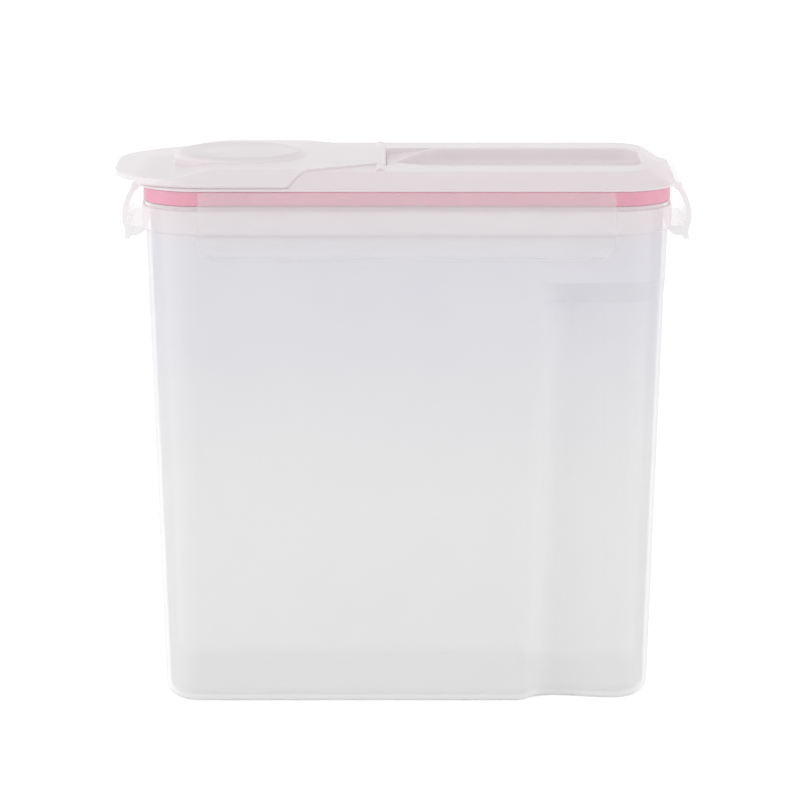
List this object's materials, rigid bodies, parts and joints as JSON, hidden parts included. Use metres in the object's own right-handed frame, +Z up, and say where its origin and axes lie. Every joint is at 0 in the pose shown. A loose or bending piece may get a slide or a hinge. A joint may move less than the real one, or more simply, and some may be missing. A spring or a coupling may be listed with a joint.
{
  "type": "food storage container",
  "caption": "Tall translucent dry-food keeper with a drafted tub, side hand grips, sealed snap-latch lid and a flip-up pouring cap.",
  "frame": {"origin": "under the middle of the overall box, in the plane that the tub stands on", "axes": "+Z up, +X along the length towards the hand grips, away from the pouring cap; +Y across the width, towards the back latch"},
  "size_m": [0.2372, 0.1248, 0.2253],
  "materials": {
    "tub_plastic": "translucent, slightly milky",
    "lid_plastic": "translucent, slightly milky",
    "cap_plastic": "translucent, slightly milky",
    "latch_plastic": "translucent, slightly milky",
    "pink_silicone": "soft satin",
    "clear_silicone": "soft satin"
  },
  "bodies": {
    "tub_body": {"tub": "tub_plastic"},
    "lid_body": {"lid": "lid_plastic", "main_gasket": "pink_silicone"},
    "cap_body": {"flip_cap": "cap_plastic", "cap_seal": "clear_silicone"},
    "front_latch_body": {"front_latch": "latch_plastic"},
    "back_latch_body": {"back_latch": "latch_plastic"},
    "grip_end_latch_body": {"grip_end_latch": "latch_plastic"},
    "spout_end_latch_body": {"spout_end_latch": "latch_plastic"}
  },
  "joints": [
    {"name": "lid_lift", "type": "slide", "parent": "tub_body", "child": "lid_body", "axis": [0, 0, 1], "range_m": [0, 0.12]},
    {"name": "cap_hinge", "type": "hinge", "parent": "lid_body", "child": "cap_body", "pos_m": [-0.0094, 0, 0.2208], "axis": [0, 1, 0], "range_deg": [0, 120]},
    {"name": "front_latch_hinge", "type": "hinge", "parent": "lid_body", "child": "front_latch_body", "pos_m": [0.0016, -0.0568, 0.2136], "axis": [-1, 0, 0], "range_deg": [0, 120]},
    {"name": "back_latch_hinge", "type": "hinge", "parent": "lid_body", "child": "back_latch_body", "pos_m": [0.0016, 0.0568, 0.2136], "axis": [1, 0, 0], "range_deg": [0, 120]},
    {"name": "grip_end_latch_hinge", "type": "hinge", "parent": "lid_body", "child": "grip_end_latch_body", "pos_m": [0.113, 0, 0.2136], "axis": [0, -1, 0], "range_deg": [0, 120]},
    {"name": "spout_end_latch_hinge", "type": "hinge", "parent": "lid_body", "child": "spout_end_latch_body", "pos_m": [-0.1098, 0, 0.2136], "axis": [0, 1, 0], "range_deg": [0, 80]}
  ]
}
